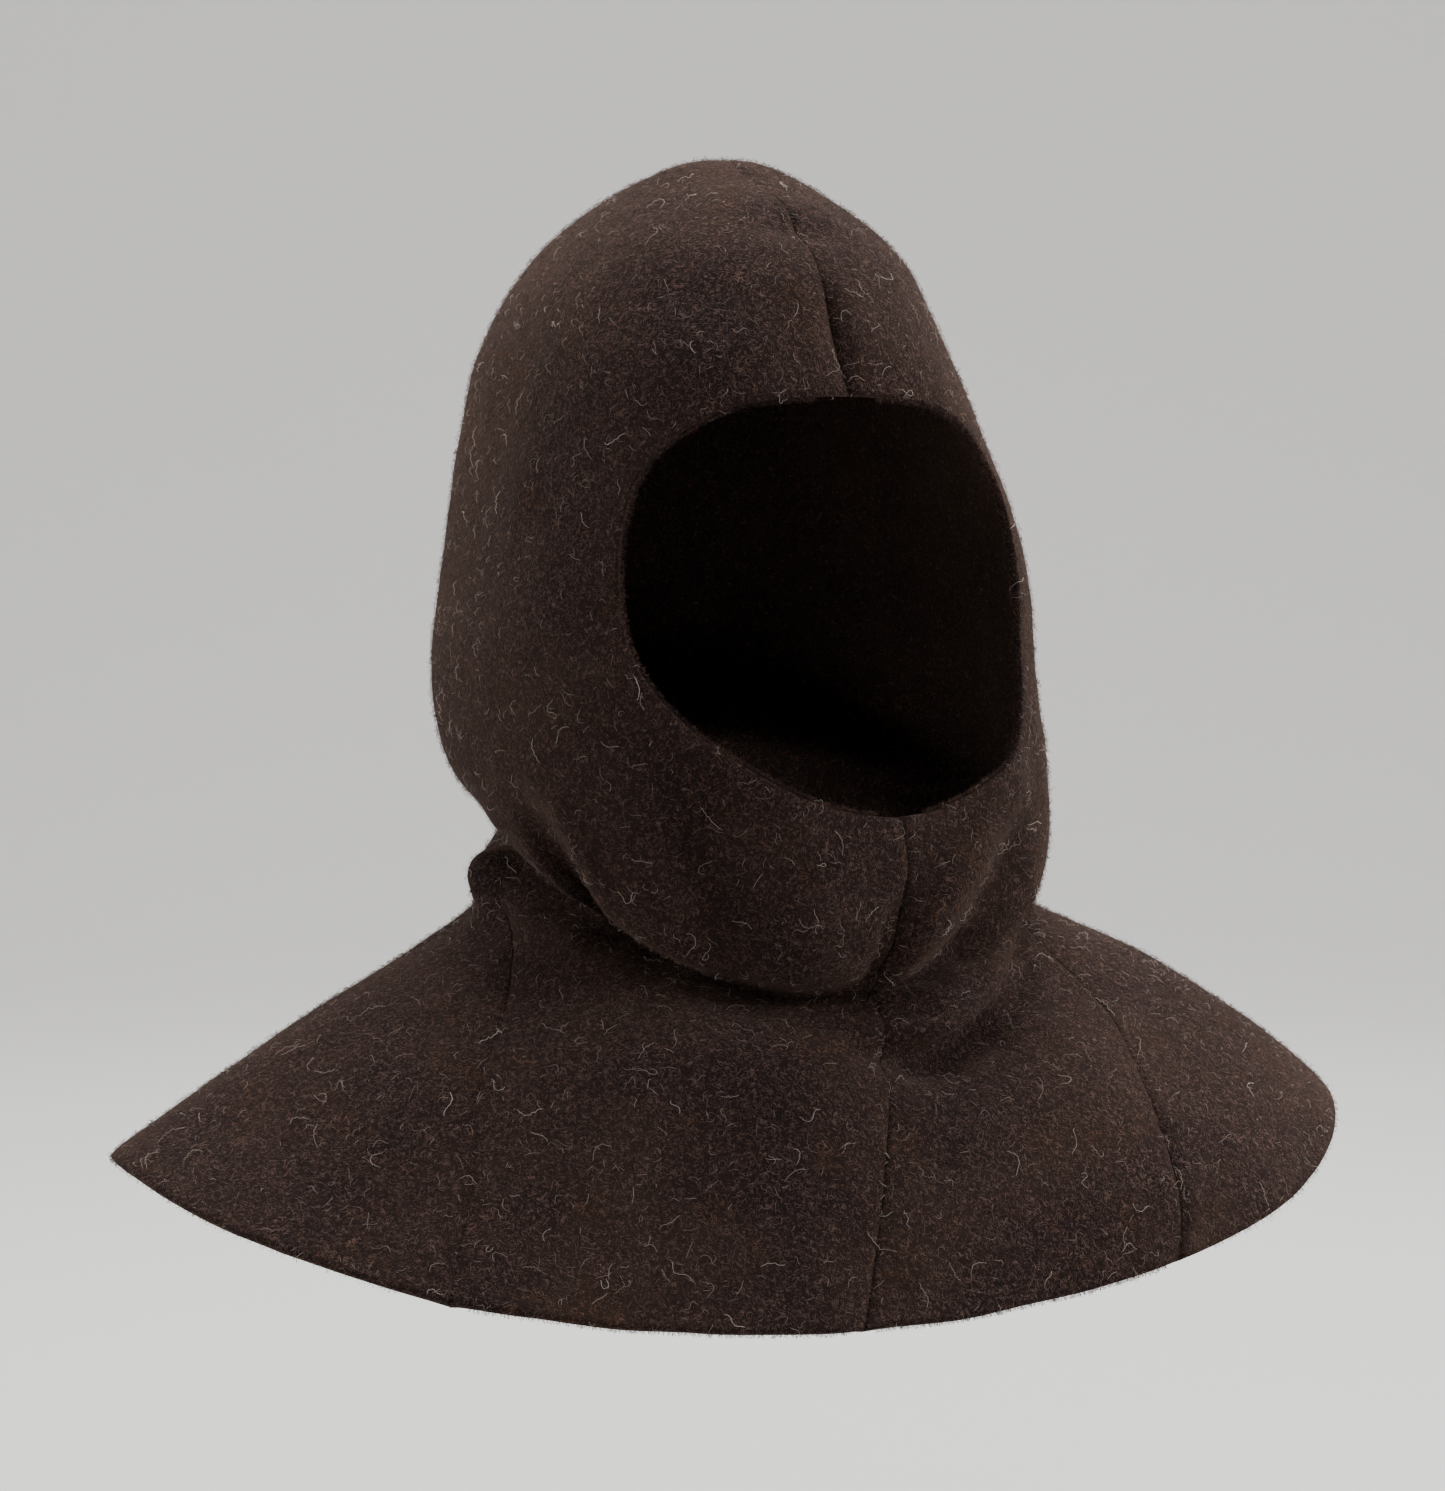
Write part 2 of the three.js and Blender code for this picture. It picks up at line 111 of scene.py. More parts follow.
world = bpy.data.worlds.new("studio")
world.use_nodes = True
room = world.node_tree.nodes["Background"]
room.inputs["Color"].default_value = linear("#f2f2f0")
room.inputs["Strength"].default_value = 0.3  # the room in front stays dimmer than the sweep
bpy.context.scene.world = world

# each light: its name, where it is, what it points at, its breadth in metres and its watts
for name, place, target, size, watts in [
    ("overhead softbox", (0.3, -0.15, 1.5), (0, 0, -0.2), 1.3, 34),
    ("left softbox", (1.8, -1.0, 0.6), (0, 0, -0.2), 0.9, 39),
    ("right softbox", (-2.0, 0.35, 0.45), (0, 0, -0.2), 0.9, 25),
    ("paper light", (0.3, 0.7, 2.0), (0.9, 2.7, -0.4), 1.4, 110),
]:
    light_data = bpy.data.lights.new(name, "AREA")
    light_data.size = size
    light_data.energy = watts
    light = bpy.data.objects.new(name, light_data)
    bpy.context.scene.collection.objects.link(light)
    light.location = place
    light.rotation_euler = (Vector(target) - light.location).to_track_quat("-Z", "Y").to_euler()

# ---------------------------------------------------------------------------------------------
# The four cut pieces: two halves, sewn over the crown and down the back and again from the chin
# to the hem, and a wedge let in over each shoulder. All are one layer of thick fulled wool with
# raw edges, so each piece is its solid from the frame with the facets smoothed into cloth.

cloth = 0.003  # its thickness


def add_node(material, kind, settings=None, **inputs):
    """Adds a node with its settings, and its inputs as values or as (node, output) links."""
    node = material.node_tree.nodes.new(kind)
    for key, value in (settings or {}).items():
        setattr(node, key, value)
    for key, value in inputs.items():
        socket = node.inputs[int(key[1:]) if key[1:].isdigit() else key.replace("_", " ")]
        if isinstance(value, tuple):
            material.node_tree.links.new(value[0].outputs[value[1]], socket)
        else:
            socket.default_value = value
    return node


# Fulled wool: woven, then milled until the weave is lost in a short hairy nap. It has no gloss,
# only the soft sheen of fibre ends where it is seen edge on. Black-brown, with browner patches
# of 20 to 60 mm, rust flecks, and a tangle of fibres about 1.5 mm apart that catch the light.
# The fibres are 0.03 mm thick on real wool and are drawn 0.3 mm thick, so that they show.
wool, shader = new_material(
    "fulled wool",
    Roughness=1.0,
    Specular_IOR_Level=0.08,
    Sheen_Weight=0.17,
    Sheen_Roughness=0.4,
    Sheen_Tint=linear("#c4a28c"),
)
times, eased, mixed = (
    {"operation": "MULTIPLY"},
    {"interpolation_type": "SMOOTHSTEP"},
    {"data_type": "RGBA"},
)
place = add_node(wool, "ShaderNodeTexCoord")
at = (place, "Object")
patches = add_node(wool, "ShaderNodeTexNoise", _0=at, Scale=17, Detail=3, Roughness=0.6)
dark = add_node(wool, "ShaderNodeValToRGB", _0=(patches, "Fac"))
dark.color_ramp.elements[0].position, dark.color_ramp.elements[0].color = 0.36, linear("#1d1515")
dark.color_ramp.elements[1].position, dark.color_ramp.elements[1].color = 0.68, linear("#2b201c")

# each layer of the tangle: how fine it is, how many lines there are to a wave, and their width
tangle = []
for scale, turns, thick in [(230, 7, 0.2), (410, 5, 0.22)]:
    field = add_node(wool, "ShaderNodeTexNoise", _0=at, Scale=scale, Detail=2, Distortion=0.6)
    rings = add_node(wool, "ShaderNodeMath", times, _0=(field, "Fac"), _1=turns)
    wave = add_node(wool, "ShaderNodeMath", {"operation": "PINGPONG"}, _0=(rings, "Value"), _1=0.5)
    line = add_node(wool, "ShaderNodeMapRange", eased, _0=(wave, "Value"))
    line.inputs["From Min"].default_value, line.inputs["From Max"].default_value = thick, 0.0
    broken = add_node(wool, "ShaderNodeTexNoise", _0=at, Scale=scale * 1.7, Detail=1)
    part = add_node(wool, "ShaderNodeMapRange", _0=(broken, "Fac"), From_Min=0.4, From_Max=0.62)
    tangle.append(add_node(wool, "ShaderNodeMath", times, _0=(line, "Result"), _1=(part, "Result")))
coarse, fine = ((layer, "Value") for layer in tangle)
fibres = add_node(wool, "ShaderNodeMath", {"operation": "MAXIMUM"}, _0=coarse, _1=fine)

rust_patch = add_node(wool, "ShaderNodeTexNoise", _0=at, Scale=38, Detail=4, Roughness=0.7)
rust = add_node(wool, "ShaderNodeMapRange", _0=(rust_patch, "Fac"), From_Min=0.53, From_Max=0.72)
grey_strand, rust_strand = linear("#634e48"), linear("#644633")
strand = add_node(wool, "ShaderNodeMix", mixed, _0=(rust, "Result"), _6=grey_strand, _7=rust_strand)
share = add_node(wool, "ShaderNodeMath", times, _0=(fibres, "Value"), _1=0.7)
base, tips = (dark, "Color"), (strand, 2)
cover = add_node(wool, "ShaderNodeMix", mixed, _0=(share, "Value"), _6=base, _7=tips)

# painted shade: where the sewn edges press together, the shade in their narrow groove is painted
# into the colour as a dark line about 0.7 mm wide, which the nap has grown over in most places and
# crosses everywhere
beside = add_node(wool, "ShaderNodeAttribute", {"attribute_name": "seam_mm"})
seam_shade_band = add_node(wool, "ShaderNodeMapRange", eased, _0=(beside, "Fac"))
seam_shade_band.inputs["From Min"].default_value, seam_shade_band.inputs["From Max"].default_value = 1.0, 0.15
seen = add_node(wool, "ShaderNodeAttribute", {"attribute_name": "seam_seen"})
crossed = add_node(wool, "ShaderNodeTexNoise", _0=at, Scale=330, Detail=2)
bare = add_node(wool, "ShaderNodeMapRange", _0=(crossed, "Fac"), From_Min=0.34, From_Max=0.56)
bare_seam = add_node(wool, "ShaderNodeMath", times, _0=(seen, "Fac"), _1=(bare, "Result"))
line = add_node(wool, "ShaderNodeMath", times, _0=(seam_shade_band, "Result"), _1=(bare_seam, "Value"))
# the painted shade's near-black colour, standing for the shade in the seam's groove
seam_shade_colour = linear("#0c0807")
with_seam_shade = add_node(wool, "ShaderNodeMix", mixed, _0=(line, "Value"), _6=(cover, 2), _7=seam_shade_colour)
wool.node_tree.links.new(with_seam_shade.outputs[2], shader.inputs["Base Color"])

grain = add_node(wool, "ShaderNodeTexNoise", _0=at, Scale=620, Detail=3, Roughness=0.7)
summed = {"operation": "ADD"}
height = add_node(wool, "ShaderNodeMath", summed, _0=(fibres, "Value"), _1=(grain, "Fac"))
relief = add_node(wool, "ShaderNodeBump", Strength=0.8, Distance=0.0006, Height=(height, "Value"))
wool.node_tree.links.new(relief.outputs["Normal"], shader.inputs["Normal"])


def only(piece):
    """Makes a piece the one that the next operators work on."""
    bpy.ops.object.select_all(action="DESELECT")
    piece.select_set(True)
    bpy.context.view_layer.objects.active = piece


def cut_piece(node, name):
    """A copy of a piece's solid: its two skins, and the walls of its edges that join them."""
    same_point, same_length = 0.00002, 0.00001
    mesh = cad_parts[node].data.copy()
    mesh.name = name
    mesh.materials.clear()
    piece = bpy.data.objects.new(name, mesh)
    bpy.context.scene.collection.objects.link(piece)
    only(piece)
    bpy.ops.object.mode_set(mode="EDIT")
    bpy.ops.mesh.select_all(action="SELECT")
    bpy.ops.mesh.remove_doubles(threshold=same_point)
    bpy.ops.mesh.tris_convert_to_quads(
        face_threshold=math.radians(70), shape_threshold=math.radians(80)
    )
    bpy.ops.mesh.normals_make_consistent(inside=False)
    bpy.ops.object.mode_set(mode="OBJECT")

    shape = bmesh.new()
    shape.from_mesh(mesh)
    outer = shape.verts.layers.float.new("outer")
    rim = shape.verts.layers.float.new("rim")
    through = {e for e in shape.edges if abs(e.calc_length() - cloth) < same_length}
    walls = {f for f in shape.faces if sum(e in through for e in f.edges) > (len(f.verts) == 4)}
    for face in walls:
        for vert in face.verts:
            vert[rim] = 1
    left = set(shape.faces) - walls
    while left:
        skin = [left.pop()]
        for face in skin:
            for edge in face.edges:
                for beyond in edge.link_faces:
                    if beyond in left:
                        left.discard(beyond)
                        skin.append(beyond)
        inside = Vector((0, 0, -0.33))
        lean = sum(f.calc_area() * f.normal.dot(f.calc_center_median() - inside) for f in skin)
        for face in skin:
            for vert in face.verts:
                vert[outer] = float(lean > 0)
    shape.to_mesh(mesh)
    shape.free()
    piece.data.materials.append(wool)
    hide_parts(node)
    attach(piece, "root")
    return piece


def values(piece, name):
    """One of a mesh's point attributes as an array."""
    found = np.zeros(len(piece.data.vertices), np.float32)
    piece.data.attributes[name].data.foreach_get("value", found)
    return found


def points(piece):
    """The places and the normals of a mesh's points."""
    count = len(piece.data.vertices)
    places, normals = np.zeros(count * 3, np.float32), np.zeros(count * 3, np.float32)
    piece.data.vertices.foreach_get("co", places)
    piece.data.vertices.foreach_get("normal", normals)
    return places.reshape(-1, 3).astype(float), normals.reshape(-1, 3).astype(float)


def tree_of(places):
    tree = KDTree(len(places))
    for i, p in enumerate(places):
        tree.insert(p, i)
    tree.balance()
    return tree


left_half = cut_piece("hood_left", "left_half")
right_half = cut_piece("hood_right", "right_half")
left_gore = cut_piece("shoulder_gore_left", "left_gore")
right_gore = cut_piece("shoulder_gore_right", "right_gore")
panels = [left_half, right_half, left_gore, right_gore]

# Where an edge lies against another piece's, it is sewn. Elsewhere it is raw.
against = 0.0016  # metres between two edges that are sewn together, at most
raw_crease = 0.55  # how far subdivision leaves a raw edge sharp, from 0 to 1

edges = [points(p)[0][values(p, "rim") > 0.5] for p in panels]
for piece in panels:
    others = tree_of([p for q, line in zip(panels, edges) if q is not piece for p in line])
    shape = bmesh.new()
    shape.from_mesh(piece.data)
    rim = shape.verts.layers.float["rim"]
    sewn = shape.verts.layers.float.new("sewn")
    raw = shape.verts.layers.float.new("raw")
    crease = shape.edges.layers.float.new("crease_edge")
    firm = shape.verts.layers.float.new("crease_vert")
    for vert in shape.verts:
        vert[sewn] = float(vert[rim] > 0.5 and others.find(vert.co)[2] < against)
    for vert in shape.verts:
        beside = [e.other_vert(vert) for e in vert.link_edges]
        seam_ends = any(v[rim] and not v[sewn] for v in beside)
        vert[raw] = float(vert[rim] > 0.5 and (not vert[sewn] or seam_ends))
    for edge in shape.edges:
        a, b = edge.verts
        sharp = edge.calc_face_angle(0) > math.radians(50)
        if a[rim] and b[rim] and sharp:
            edge[crease] = raw_crease if a[raw] and b[raw] and not (a[sewn] and b[sewn]) else 1
        if a[raw] and a[sewn] and b[raw] and b[sewn]:
            edge[crease] = 1
            a[firm] = b[firm] = 1
    shape.to_mesh(piece.data)
    shape.free()

for piece in panels:
    only(piece)
    bpy.ops.object.modifier_add(type="SUBSURF")
    smooth = piece.modifiers[-1]
    smooth.levels = smooth.render_levels = 2
    bpy.ops.object.modifier_apply(modifier=smooth.name)

# the thread draws the sewn edges together, each over half of the 0.3 mm that the solids leave
thread_reach = 0.0012

sewn_points = [points(p)[0][values(p, "sewn") > 0.6] for p in panels]
for piece, own in zip(panels, sewn_points):
    others = tree_of([p for line in sewn_points if line is not own for p in line])
    for i in np.flatnonzero(values(piece, "sewn") > 0.6):
        beyond, _, apart = others.find(piece.data.vertices[i].co)
        if apart < thread_reach:
            piece.data.vertices[i].co += (beyond - piece.data.vertices[i].co) * 0.5

# pressing lays them level with the cloth on both sides of the seam, so that no ridge is left
press = 0.7  # how much of the ridge goes

for side in (0, 1):
    beds = []
    for piece in panels:
        places, normals = points(piece)
        bed = (np.abs(values(piece, "outer") - side) < 0.01) & (values(piece, "rim") < 0.3)
        beds.append((tree_of(places[bed]), normals[bed]))
    for number, piece in enumerate(panels):
        corner = (np.abs(values(piece, "outer") - side) < 0.01) & (values(piece, "sewn") > 0.99)
        for i in np.flatnonzero(corner):
            corner_at = piece.data.vertices[i].co
            own, k, _ = beds[number][0].find(corner_at)
            found = [bed.find(corner_at) for n, (bed, _) in enumerate(beds) if n != number]
            other = min(found, key=lambda f: f[2])[0]
            up = Vector(beds[number][1][k])
            ridge = ((own + other) / 2 - corner_at).dot(up)
            piece.data.vertices[i].co = corner_at + up * (ridge * press)

# ---------------------------------------------------------------------------------------------
# The folds and dents of the worn hood that are too small for the frame's solids, the seams,
# which pull the cloth in and pucker it, and the slight waves of a cloth milled unevenly. The
# two skins of a piece move together, so it keeps its thickness.

# Each runs through its rows: x, y and z in millimetres, half its width, and how far it stands
# out (or in, below 0), both in millimetres.
dents = {
    "brow crease": [
        (5.9, -102.7, -89, 4, -1), (3.5, -101, -78, 4.5, -2.6), (1, -95.5, -65, 4.5, -3.2),
        (-0.7, -89.5, -55.6, 5, -2.6), (-1.8, -81, -45, 5, -0.3),
    ],
    "brow bump": [(-4, -97, -62, 8, 0.8), (-3, -89, -48, 9, 1.4), (-1, -84, -42, 8, 0.6)],
    "brow bump, left": [(13, -97, -66, 7, 0.9), (11, -90, -50, 8, 0.8)],
    "crown dent": [
        (-16, -66, -24, 7, -1), (-8.9, -68.8, -26.5, 6.5, -3), (0.4, -70, -28.2, 6.5, -3),
        (10, -69, -28, 7, -1),
    ],
    "above the dent": [(-20, -50, -16, 9, 0.8), (-6, -54, -18, 9, 1.2), (8, -54, -19, 9, 0.8)],
    "forehead fold": [(-62, -66, -52, 12, -1), (-40, -84, -56, 12, -1.5), (-22, -93, -62, 10, -1)],
    "right lip": [
        (-98, -55, -230, 7, 1), (-91, -63, -240, 6, 2.5), (-85, -66, -251, 5.5, 4),
        (-81, -68, -262, 5.5, 4), (-74, -67, -276, 5, 2),
    ],
    "right chin hollow": [
        (-51, -93, -231, 11, -1), (-48, -90, -246, 12, -4), (-43, -88, -261, 12, -5),
        (-38, -87, -276, 12, -5), (-32, -84, -291, 10, -3.5),
    ],
    "chin, right of the hollow": [(-68, -82, -250, 10, 1.5), (-62, -79, -270, 10, 2)],
    "chin, middle": [(-5, -96, -245, 14, 1), (-2, -96, -268, 14, 2)],
    "nape roll": [(-104, -2, -258, 7, 2), (-102, 5, -266, 9, 7.5), (-101, 2, -273, 8, 6)],
    "chin ridge": [
        (77, -83, -234, 7, 1), (68, -89, -249, 7, 2), (54, -95, -268, 7, 3),
        (44, -97, -281, 6.5, 3), (35, -90, -299, 5, 1),
    ],
    "chin crease": [(34, -95, -270, 3.5, -1), (28, -95.5, -284, 4, -4), (24, -88, -302, 4, -4.5)],
    "left chin hollow": [(88, -60, -264, 8, -2.5), (76, -65, -280, 9, -5), (66, -64, -295, 8, -4.5)],
    "throat roll": [
        (98, -54, -261, 8, 0.5), (100, -49, -280, 8, 2), (82, -66, -301, 7, 3),
        (51, -84, -311, 7, 3.5), (28, -81, -312, 6, 2.5),
    ],
    "under the roll": [
        (11, -91, -321.6, 5, -1), (14, -98, -327, 6, -3), (32, -96, -333, 7, -5),
        (52, -89, -334, 8, -7), (72, -78, -325, 8, -8), (87, -68, -315, 6, -5),
        (100, -51, -305, 5, -1.5),
    ],
    "foot of the neck": [
        (-92, -26, -282, 7, 1), (-82, -40, -287, 7, 1), (-70, -52, -293, 7, 0.5),
        (-56, -62, -300, 7, 0.5), (-38, -71, -307, 7, 0.5), (-16, -76, -313, 7, 1),
        (6, -82, -317, 6, 1),
    ],
}

# Some of the cloth is drawn aside. The brow seam is shifted to the wearer's left, and the left
# corner of the face opening is raised. Beyond its lip on the wearer's right, the hood is drawn in
# to the neck and leaves a deep crease under the lip. Below the chin it tucks under, and the chin
# hangs over the crease. Each has the way that the cloth goes, and rows alike, with how far.
drawn = {
    "brow seam": ((1, 0, 0), [
        (5.9, -102.7, -89, 16, 2.5), (2, -99.2, -71.4, 18, 3.5), (-0.7, -89.5, -55.6, 18, 4),
        (-3.7, -62, -25.7, 18, 3),
    ]),
    "raised corner": ((0, -0.2, 0.98), [
        (58, -90, -238, 8, 3), (68, -87, -235, 9, 6), (77, -83, -232, 9, 6),
        (85, -75, -226, 8, 3),
    ]),
    "beyond the lip": ((0.55, 0.83, -0.1), [
        (-100, -47, -238, 7, 3), (-95, -52, -248, 7, 12), (-90, -55, -258, 7, 20),
        (-84, -57, -268, 7, 25), (-77, -56, -277, 7, 25), (-68, -53, -285, 7, 19),
        (-58, -56, -292, 6, 13), (-50, -60, -296, 6, 7),
    ]),
    "behind it": ((0.4, 0.9, -0.1), [
        (-104, -36, -238, 8, 2), (-103, -33, -250, 9, 6), (-99, -31, -261, 9, 8),
        (-93, -34, -270, 8, 7),
    ]),
    "tucked under": ((0.4, 0.9, -0.1), [
        (-54, -62, -297, 8, 7), (-37, -68, -302, 9, 10), (-16, -75, -307, 9, 11),
        (5, -84, -306, 9, 10), (20, -88, -305, 8, 6),
    ]),
    "chin hangs over": ((0, 0.1, -1), [
        (-70, -68, -278, 8, 2), (-58, -74, -286, 9, 4), (-40, -82, -294, 9, 5),
        (-16, -89, -299, 9, 5), (5, -93, -300, 8, 4), (18, -94, -298, 7, 2),
    ]),
}

# Where the nap leaves the line of a seam bare, in rows alike: x, y, z, half width, and how much.
bare_seams = {
    "brow": [
        (5.9, -102.7, -89, 7, 0.2), (1, -95.5, -65, 8, 0.8), (-0.7, -89.5, -55.6, 8, 0.6),
        (-1.8, -81, -45, 6, 0.2),
    ],
    "throat": [(30, -95, -284, 14, 0.8), (24, -88, -302, 14, 0.9)],
    "chest": [(17, -115, -355, 14, 0.6), (1, -143, -421, 14, 0.8)],
    "right gore, front": [
        (-100, -20, -290, 16, 0.45), (-118, -62, -327, 16, 0.5), (-130, -87, -360, 16, 0.45),
        (-146, -119, -408, 16, 0.55),
    ],
    "left gore, front": [(150, -60, -330, 20, 0.1), (166, -100, -390, 20, 0.15)],
}


def along_rows(table, places):
    """What the lines of rows give each place: most on a line, less beside it, all lines added."""
    total = np.zeros(len(places))
    for rows in table.values():
        best = np.zeros(len(places))
        for first, second in zip(rows, rows[1:]):
            a, b = np.array(first[:3]) / 1000, np.array(second[:3]) / 1000
            along = b - a
            t = np.clip((places - a) @ along / (along @ along), 0, 1)
            away = np.linalg.norm(places - a - t[:, None] * along, axis=1)
            half = (first[3] + t * (second[3] - first[3])) / 1000
            value = (first[4] + t * (second[4] - first[4])) * np.exp(-((away / half) ** 2))
            best = np.where(np.abs(value) > np.abs(best), value, best)
        total += best
    return total


def waves(places, length, seed):
    """Smooth noise from -1 to 1 with waves of about that length."""
    shift = Vector((seed * 7.3, seed * 3.1, seed * 5.7))
    return np.array([noise.noise(Vector(p / length) + shift) for p in places])


# the waves: how high they are, their length in metres, and their seed
undulations = [(0.0007, 0.05, 7), (0.0006, 0.034, 1), (0.0003, 0.013, 2)]
# a bare seam lies in a narrow groove and in a wider one that puckers, each with its depth and
# half its width in metres
groove, puckered = (0.0007, 0.002), (0.0005, 0.006)
edge_sway, sway_length = 0.0009, 0.03  # the raw edges' own waves, in metres
carries = 3  # how often a pull is carried on to the points beside it

for piece in panels:
    places, normals = points(piece)
    outer, rim, sewn, raw = (values(piece, name) for name in ("outer", "rim", "sewn", "raw"))
    skin = np.flatnonzero((outer > 0.99) & (rim < 0.6))
    over = tree_of(places[skin])
    nearest = np.array([over.find(p)[1] for p in places])
    out, facing = normals[skin][nearest], places[skin][nearest]
    facing[rim > 0.6] = places[rim > 0.6]
    seam = tree_of(places[sewn > 0.99])
    apart = np.array([seam.find(p)[2] for p in places])
    pucker = 1 + 0.6 * waves(places, 0.009, 3)
    seen = np.clip(along_rows(bare_seams, places), 0, 1)
    narrow = groove[0] * np.exp(-((apart / groove[1]) ** 2))
    wide = puckered[0] * pucker * np.exp(-((apart / puckered[1]) ** 2))
    dip = seen * (narrow + wide)
    undulation = sum(high * waves(facing, length, seed) for high, length, seed in undulations)
    move = along_rows(dents, facing) / 1000 - dip + undulation
    places += out * move[:, None]
    pull = np.zeros_like(places)
    for way, rows in drawn.values():
        pull += np.array(way) * along_rows({"rows": rows}, facing)[:, None] / 1000
    # a pull is carried on to the cloth beside it, but for the edges, which stay sewn
    ends = np.zeros(len(piece.data.edges) * 2, np.int32)
    piece.data.edges.foreach_get("vertices", ends)
    first, second = ends.reshape(-1, 2).T
    shared = np.bincount(ends, minlength=len(places))[:, None]
    for _ in range(carries):
        carried = np.zeros_like(pull)
        np.add.at(carried, first, pull[second])
        np.add.at(carried, second, pull[first])
        pull = np.where(rim[:, None] < 0.6, (pull + carried / shared) / 2, pull)
    places += pull
    sway = np.stack([waves(places, sway_length, k) for k in (4, 5, 6)], axis=1)
    places += edge_sway * sway * (raw**2)[:, None] * (1 - sewn)[:, None]
    piece.data.vertices.foreach_set("co", places.ravel())
    for key, each in (("seam_mm", np.minimum(apart * 1000, 50)), ("seam_seen", seen)):
        kept = piece.data.attributes.new(key, "FLOAT", "POINT")
        kept.data.foreach_set("value", each.astype(np.float32))
    piece.data.update()
    only(piece)
    bpy.ops.object.shade_smooth_by_angle(angle=math.radians(75))

# ---------------------------------------------------------------------------------------------
# The nap: the short fibres that fulling raised from the cloth, most of them lying on it, others
# standing 1 to 2 mm off it, and a denser fringe of them on the raw edges. Each lying fibre is a
# bent spindle and each standing one a spike, closed at both ends.

# Wool fibre: matt, from black-brown to grey-brown, a few of them rust where the dye has turned.
fibre, shader = new_material("wool fibre", Roughness=0.8, Specular_IOR_Level=0.15)
tone = add_node(fibre, "ShaderNodeAttribute", {"attribute_name": "tone"})
tones = add_node(fibre, "ShaderNodeValToRGB", _0=(tone, "Fac"))
tones.color_ramp.elements[0].color = linear("#191211")
tones.color_ramp.elements[1].color = linear("#c9bdb3")
for at, colour in [(0.35, "#372a28"), (0.6, "#6b5953"), (0.85, "#a59790")]:
    tones.color_ramp.elements.new(at).color = linear(colour)
rusty = add_node(fibre, "ShaderNodeAttribute", {"attribute_name": "rust"})
turned = linear("#6b4836")
dyed = add_node(fibre, "ShaderNodeMix", mixed, _0=(rusty, "Fac"), _6=(tones, "Color"), _7=turned)
fibre.node_tree.links.new(dyed.outputs[2], shader.inputs["Base Color"])

seam_cover = 1.5  # how far from a seam the nap has grown thicker over it, in millimetres
thicker = 1.5  # how much of it there is there, over what is there elsewhere
root_depth = 0.0003  # how deep a fibre's root is sunk in the cloth, in metres


def scatter(piece, count, seed, side, heights=(-1, 1)):
    """Places spread evenly over a piece: its outer skin (1), its inner (0) or its raw edge (2)."""
    mesh = piece.data
    mesh.calc_loop_triangles()
    corners = np.zeros(len(mesh.loop_triangles) * 3, np.int32)
    mesh.loop_triangles.foreach_get("vertices", corners)
    corners = corners.reshape(-1, 3)
    places, normals = points(piece)
    outer, rim, raw, sewn = (
        values(piece, name)[corners].min(1) for name in ("outer", "rim", "raw", "sewn")
    )
    outermost = values(piece, "outer")[corners].max(1)
    wall = rim > 0.99
    if side == 2:
        chosen = wall & (raw > 0.99) & (sewn < 0.5)
    else:
        chosen = ~wall & ((outer > 0.99) if side else (outermost < 0.01))
    middle = places[corners].mean(1)[:, 2]
    chosen &= (middle > heights[0]) & (middle < heights[1])
    # the nap has grown thicker where it covers a seam
    near_seam = np.exp(-((values(piece, "seam_mm")[corners].min(1) / seam_cover) ** 2))
    covered = near_seam * (1 - values(piece, "seam_seen")[corners].mean(1))
    corners, crowd = corners[chosen], 1 + thicker * covered[chosen] * (side == 1)
    a, b, c = places[corners[:, 0]], places[corners[:, 1]], places[corners[:, 2]]
    flat = np.cross(b - a, c - a)
    area = np.linalg.norm(flat, axis=1)
    dice = np.random.default_rng(seed)
    tri = dice.choice(len(corners), count, p=area * crowd / (area * crowd).sum())
    u, v = dice.random(count), dice.random(count)
    u, v = np.where(u + v > 1, 1 - u, u), np.where(u + v > 1, 1 - v, v)
    where = a[tri] + u[:, None] * (b - a)[tri] + v[:, None] * (c - a)[tri]
    return where, (flat / area[:, None])[tri], dice


def unit(v):
    return v / np.maximum(np.linalg.norm(v, axis=1, keepdims=True), 1e-9)


def ring(centre, way, normals, thick):
    """The three corners of a fibre's section, round its way."""
    beside = unit(np.cross(way, normals))
    above = np.cross(beside, way)
    turns = [math.radians(t) for t in (90, 210, 330)]
    radius = thick[:, None] / 2
    return [centre + radius * (math.cos(t) * beside + math.sin(t) * above) for t in turns]


